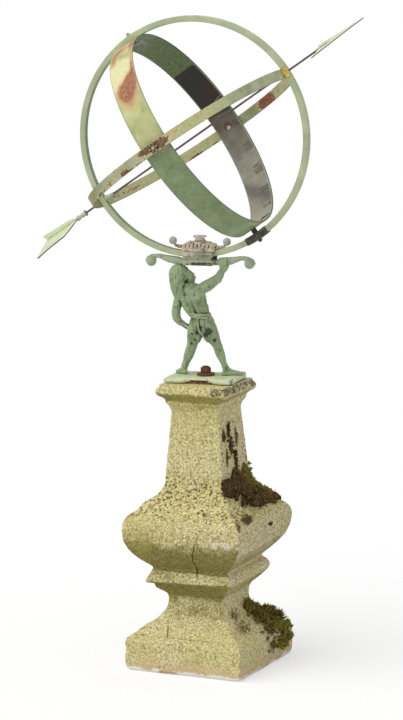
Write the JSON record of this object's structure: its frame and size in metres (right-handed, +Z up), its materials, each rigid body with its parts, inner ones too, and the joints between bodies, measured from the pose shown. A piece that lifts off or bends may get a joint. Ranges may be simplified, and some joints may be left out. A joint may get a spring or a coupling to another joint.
{
  "type": "armillary sundial",
  "caption": "Armillary sundial: metal rings with an arrow gnomon, held in a cradle that a standing figure carries on a baluster-shaped stone pedestal. The rings tilt and the figure swivels.",
  "frame": {"origin": "middle of the underside of the plinth, on the ground", "axes": "+X to the north in the meridian plane, +Y to the west, +Z up"},
  "size_m": [0.8702, 0.5972, 1.6356],
  "materials": {
    "stone_plinth": "weathered cast stone",
    "stone_baluster": "weathered cast stone",
    "anchor_iron": "rusted",
    "lead": "dull lead",
    "packing": "rusted sheet",
    "bronze_slab": "pale verdigris",
    "hidden_screws": "dull",
    "bronze_figure": "verdigris",
    "bronze_yoke": "verdigris",
    "cradle_paint": "peeling paint",
    "ball_paint": "peeling paint",
    "dark_fixings": "dark",
    "ring_paint": "weathered paint",
    "polar_paint": "weathered paint",
    "band_paint": "weathered paint",
    "strip_bronze": "brown patina",
    "brown_fixings": "worn",
    "rod_metal": "dull, brown",
    "collar_paint": "weathered paint",
    "patch_brass": "yellow, worn",
    "arrow_paint": "pale paint"
  },
  "bodies": {
    "pedestal": {"pedestal_plinth": "stone_plinth", "pedestal_baluster": "stone_baluster", "anchor_stud": "anchor_iron", "stud_lead": "lead", "anchor_washer": "anchor_iron", "anchor_nut": "anchor_iron"},
    "support": {"packing_plates": "packing", "figure_slab": "bronze_slab", "foot_screws": "hidden_screws", "figure": "bronze_figure", "head_pin": "hidden_screws", "hand_pin": "hidden_screws", "yoke": "bronze_yoke", "cradle_block": "cradle_paint", "cradle_screws": "hidden_screws", "cradle_cap": "cradle_paint", "cap_balls": "ball_paint", "end_screw": "dark_fixings"},
    "clamp": {"clamp_screw": "cradle_paint"},
    "sphere": {"meridian_ring": "ring_paint", "splice_sleeve": "dark_fixings", "polar_ring": "polar_paint", "equatorial_band": "band_paint", "chapter_strip": "strip_bronze", "hour_numerals": "strip_bronze", "crossing_spacers": "dark_fixings", "crossing_bolts": "brown_fixings", "crossing_rosettes": "brown_fixings", "band_top_screw": "dark_fixings", "band_top_nut": "ring_paint", "band_bottom_spacer": "dark_fixings", "band_bottom_bolt": "dark_fixings", "band_bottom_nut": "dark_fixings", "gnomon_rod": "rod_metal", "south_collar": "collar_paint", "north_patch": "patch_brass", "arrow_ferrule": "arrow_paint", "arrow_fletching": "arrow_paint", "arrowhead": "arrow_paint"}
  },
  "joints": [
    {"name": "support_swivel", "type": "hinge", "parent": "pedestal", "child": "support", "pos_m": [0, 0, 0.7243], "axis": [0, 0, 1], "continuous": true},
    {"name": "latitude_tilt", "type": "hinge", "parent": "support", "child": "sphere", "pos_m": [-0.023, 0, 1.3356], "axis": [0, -1, 0], "range_deg": [-5, 28]},
    {"name": "clamp_turn", "type": "hinge", "parent": "support", "child": "clamp", "pos_m": [-0.011, 0, 1.08], "axis": [0, 0, 1], "continuous": true}
  ]
}
